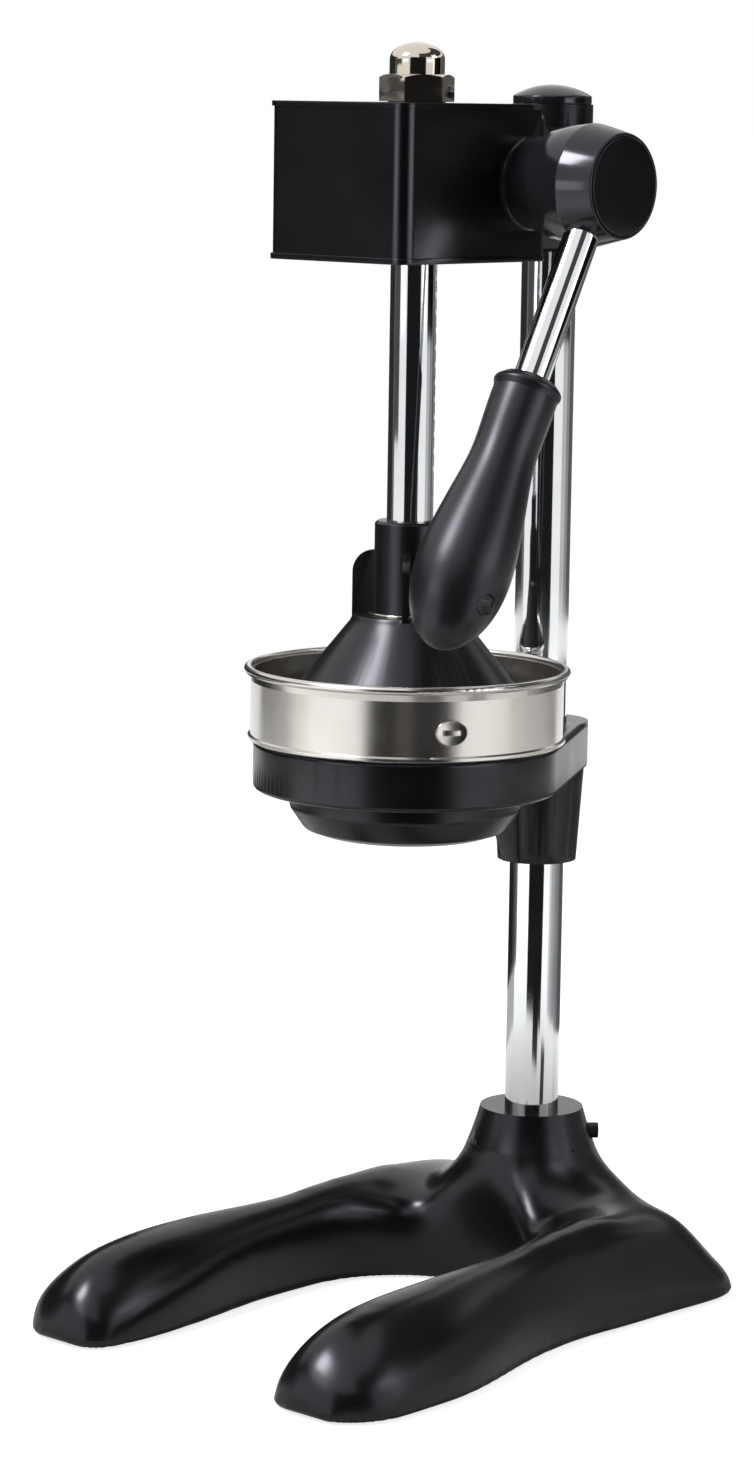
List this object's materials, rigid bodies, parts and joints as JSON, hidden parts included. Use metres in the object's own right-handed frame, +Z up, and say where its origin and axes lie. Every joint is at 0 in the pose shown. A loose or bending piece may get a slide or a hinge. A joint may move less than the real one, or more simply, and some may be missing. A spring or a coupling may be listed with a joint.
{
  "type": "lever citrus juice press",
  "caption": "Free-standing citrus press with a U-shaped base, chrome column, geared head, side lever, press cone and a strainer cup over a juice funnel.",
  "frame": {"origin": "on the ground at the middle of the base footprint, in the plane of symmetry of the base", "axes": "+Z up along the column, -Y towards the user and the open end of the base, +X to the lever side"},
  "size_m": [0.1788, 0.256, 0.472],
  "materials": {
    "black_casting": "satin black powder coat on a casting",
    "gloss_black": "semi-gloss black enamel",
    "black_rubber": "matt black rubber",
    "zinc_steel": "bright zinc-plated steel",
    "black_steel": "black oxide steel",
    "chrome_bar": "polished hard chrome",
    "bronze": "sintered bronze",
    "black_plastic": "satin black moulded nylon",
    "stainless": "spun stainless steel with a polished rim",
    "cast_aluminium": "bead-blasted and polished cast aluminium",
    "nickel": "nickel plated, bright",
    "black_nylon": "black nylon",
    "steel_gear": "machined steel",
    "soft_grip": "soft-touch black thermoplastic rubber"
  },
  "bodies": {
    "stand": {"base_casting": "black_casting", "rubber_feet": "black_rubber", "foot_screws": "zinc_steel", "column": "chrome_bar", "column_washer": "zinc_steel", "column_bolt": "zinc_steel", "base_set_screws": "black_steel", "head_housing": "black_casting", "head_top_plate": "black_casting", "head_bottom_plate": "black_casting", "plate_screws": "black_steel", "upper_rod_bush": "bronze", "lower_rod_bush": "bronze", "shaft_bush_left": "bronze", "shaft_bush_right": "bronze", "bearing_boss": "black_plastic", "left_bearing_cap": "black_plastic", "column_clamp": "black_casting", "clamp_screws": "black_steel", "column_cap": "black_plastic", "bowl_carrier": "black_casting", "carrier_set_screw": "black_steel", "juice_funnel": "gloss_black", "funnel_screws": "zinc_steel"},
    "cup": {"strainer_cup": "stainless", "cup_badge": "stainless", "reamer": "cast_aluminium"},
    "press": {"rack_rod": "chrome_bar", "acorn_nut": "nickel", "stop_washer": "black_nylon", "press_cone": "gloss_black", "cone_screw": "zinc_steel"},
    "lever": {"pinion_gear": "steel_gear", "pinion_shaft": "steel_gear", "shaft_key": "steel_gear", "shaft_ring": "black_steel", "lever_hub": "black_plastic", "hub_set_screw": "black_steel", "hub_cap": "black_plastic", "lever_rod": "chrome_bar", "grip": "soft_grip", "grip_screw": "zinc_steel", "grip_plug": "black_plastic"}
  },
  "joints": [
    {"name": "press_slide", "type": "slide", "parent": "stand", "child": "press", "axis": [0, 0, 1], "range_m": [0, 0.092]},
    {"name": "lever_swing", "type": "hinge", "parent": "stand", "child": "lever", "pos_m": [0, 0.0145, 0.42235], "axis": [-1, 0, 0], "range_deg": [0, 292.8]},
    {"name": "cup_turn", "type": "hinge", "parent": "stand", "child": "cup", "pos_m": [0, -0.01, 0.22], "axis": [0, 0, 1], "continuous": true}
  ],
  "couplings": [
    {"joint": "press_slide", "follows": "lever_swing", "m_per_rad": 0.018}
  ]
}
